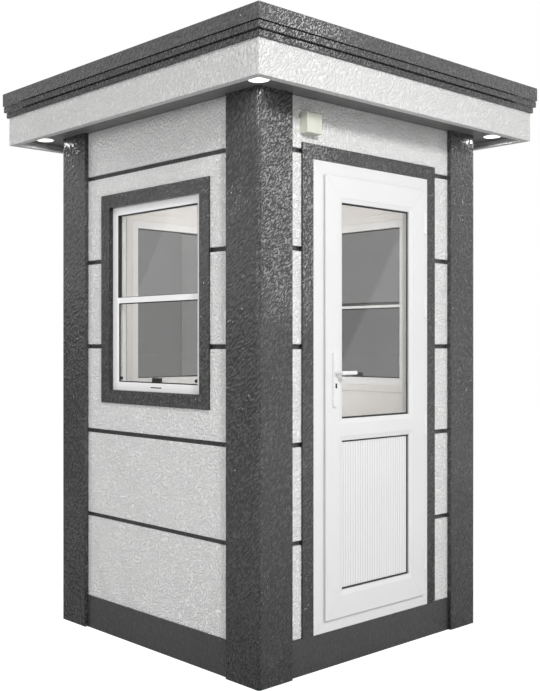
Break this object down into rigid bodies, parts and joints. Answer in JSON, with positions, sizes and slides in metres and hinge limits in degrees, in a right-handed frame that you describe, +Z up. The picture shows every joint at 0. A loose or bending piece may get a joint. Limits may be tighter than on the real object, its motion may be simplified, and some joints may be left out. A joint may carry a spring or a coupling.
{
  "type": "modular cabin",
  "caption": "Free-standing booth with four dark corner posts, white grooved panels, sliding windows, a glazed hinged door and a flat roof with stepped eaves.",
  "frame": {"origin": "on the ground at the middle of the plan", "axes": "+Z up, the door face looks towards -Y, +X to the right of someone facing the door"},
  "size_m": [1.932, 1.832, 2.643],
  "materials": {
    "dark_texture": "hammered semi-gloss anthracite paint",
    "white_stucco": "white sheet with a worm-track relief, semi-gloss",
    "core_dark": "dark rough sheet in the grooves",
    "grey_steel": "painted steel section",
    "floor_sheet": "floor sheet, matt",
    "cream_lining": "cream lining boards, matt",
    "white_profile": "white plastic profile, semi-gloss",
    "clear_glass": "clear float glass",
    "black_plastic": "black moulded plastic",
    "hinge_white": "white powder coat",
    "handle_white": "white powder coat, glossy",
    "soffit_grey": "pale textured sheet",
    "light_lens": "opal lens in a white rim",
    "ivory_box": "ivory moulded plastic"
  },
  "bodies": {
    "cabin": {"post_front_left": "dark_texture", "post_front_right": "dark_texture", "post_back_left": "dark_texture", "post_back_right": "dark_texture", "plinth": "dark_texture", "floor_bearers": "grey_steel", "floor_deck": "floor_sheet", "front_wall_left": "core_dark", "front_wall_right": "core_dark", "front_wall_head": "core_dark", "left_wall": "core_dark", "back_wall": "core_dark", "right_wall": "core_dark", "front_cladding": "white_stucco", "left_cladding": "white_stucco", "back_cladding": "white_stucco", "right_cladding": "white_stucco", "wall_linings": "cream_lining", "ceiling": "cream_lining", "left_window_trim": "dark_texture", "back_window_trim": "dark_texture", "right_window_trim": "dark_texture", "left_window_frame": "white_profile", "back_window_frame": "white_profile", "right_window_frame": "white_profile", "window_glass": "clear_glass", "window_catches": "black_plastic", "door_trim": "dark_texture", "door_frame": "white_profile", "frame_hinges": "hinge_white", "soffit": "soffit_grey", "fascia": "white_stucco", "cornice_lower": "dark_texture", "cornice_upper": "dark_texture", "roof_core": "core_dark", "roof_cap": "dark_texture", "downlights": "light_lens", "wall_light": "ivory_box"},
    "leaf": {"door_leaf": "white_profile", "door_beads": "white_profile", "door_glass": "clear_glass", "door_panel": "white_profile", "leaf_hinges": "hinge_white", "handle_plates": "handle_white"},
    "lever": {"door_lever": "handle_white"}
  },
  "joints": [
    {"name": "door_hinge", "type": "hinge", "parent": "cabin", "child": "leaf", "pos_m": [0.348, -0.6955, 0], "axis": [0, 0, 1], "range_deg": [0, 110]},
    {"name": "lever_turn", "type": "hinge", "parent": "leaf", "child": "lever", "pos_m": [-0.296, -0.7, 1.257], "axis": [0, 1, 0], "range_deg": [0, 40], "stiffness_Nm_per_rad": 1, "springref_deg": -20.05}
  ]
}
